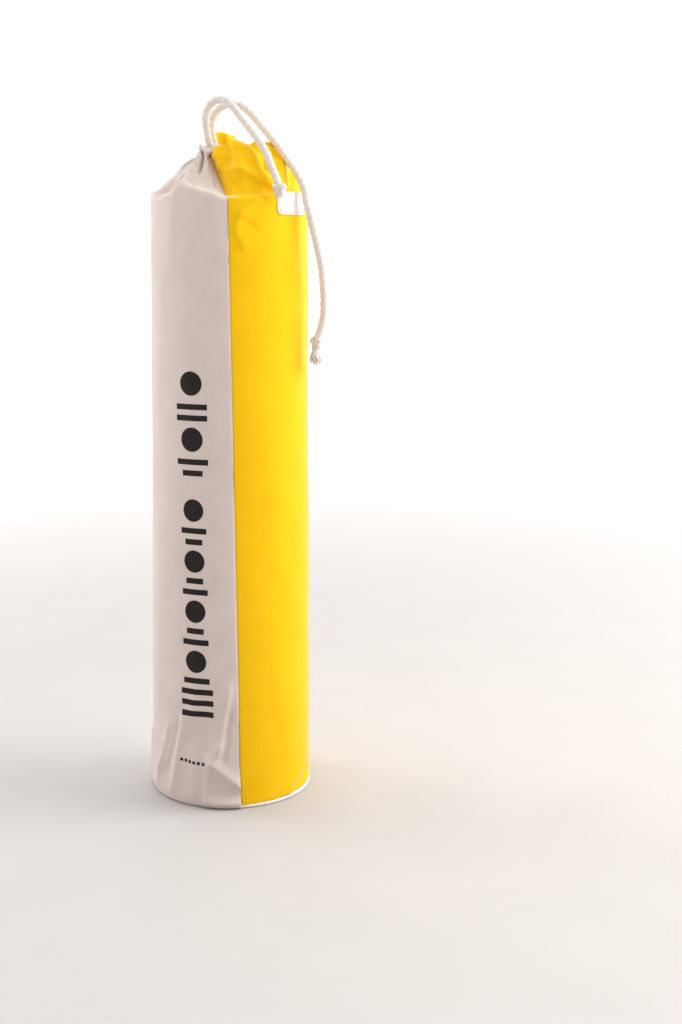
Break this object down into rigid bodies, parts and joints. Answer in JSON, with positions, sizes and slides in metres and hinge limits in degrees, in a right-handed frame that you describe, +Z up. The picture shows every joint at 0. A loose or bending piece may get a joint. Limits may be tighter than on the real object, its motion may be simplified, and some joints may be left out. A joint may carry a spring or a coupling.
{
  "type": "drawstring mat bag",
  "caption": "Tall round canvas drawstring bag for a rolled mat, white and yellow halves, gathered mouth, cotton carry rope and knotted tail.",
  "frame": {"origin": "centre of the round base, on the surface that the bag stands on", "axes": "+Z up along the bag, -Y towards the front seam, +X towards the yellow half and the tail"},
  "size_m": [0.1904, 0.1775, 0.7683],
  "materials": {
    "white_canvas": "natural undyed cotton canvas, plain weave",
    "yellow_canvas": "dyed cotton canvas, plain weave",
    "seam_tape": "cotton binding tape",
    "cotton_rope": "twisted natural cotton rope, matt",
    "thread": "cotton sewing thread",
    "mat": "foam rubber mat"
  },
  "bodies": {
    "bag": {"white_panel": "white_canvas", "yellow_panel": "yellow_canvas", "front_seam": "seam_tape", "back_seam": "seam_tape", "base_disc": "white_canvas", "base_piping": "white_canvas", "mat_roll": "mat", "white_gather": "white_canvas", "yellow_gather": "yellow_canvas", "white_casing": "white_canvas", "yellow_casing": "yellow_canvas", "drawcord_loop": "cotton_rope", "cord_tab": "white_canvas", "tab_stitching": "thread"},
    "carry": {"carry_rope": "cotton_rope", "carry_knot": "cotton_rope"},
    "tail": {"tail_rope": "cotton_rope", "tail_knot": "cotton_rope", "tail_tassel": "cotton_rope"}
  },
  "joints": [
    {"name": "carry_swing", "type": "hinge", "parent": "bag", "child": "carry", "pos_m": [-0.022, -0.01, 0.714], "axis": [0.6169, -0.6521, -0.4406], "range_deg": [0, 70]},
    {"name": "tail_swing", "type": "hinge", "parent": "bag", "child": "tail", "pos_m": [-0.015, -0.003, 0.712], "axis": [0, 0, 1], "range_deg": [-10, 25]}
  ]
}
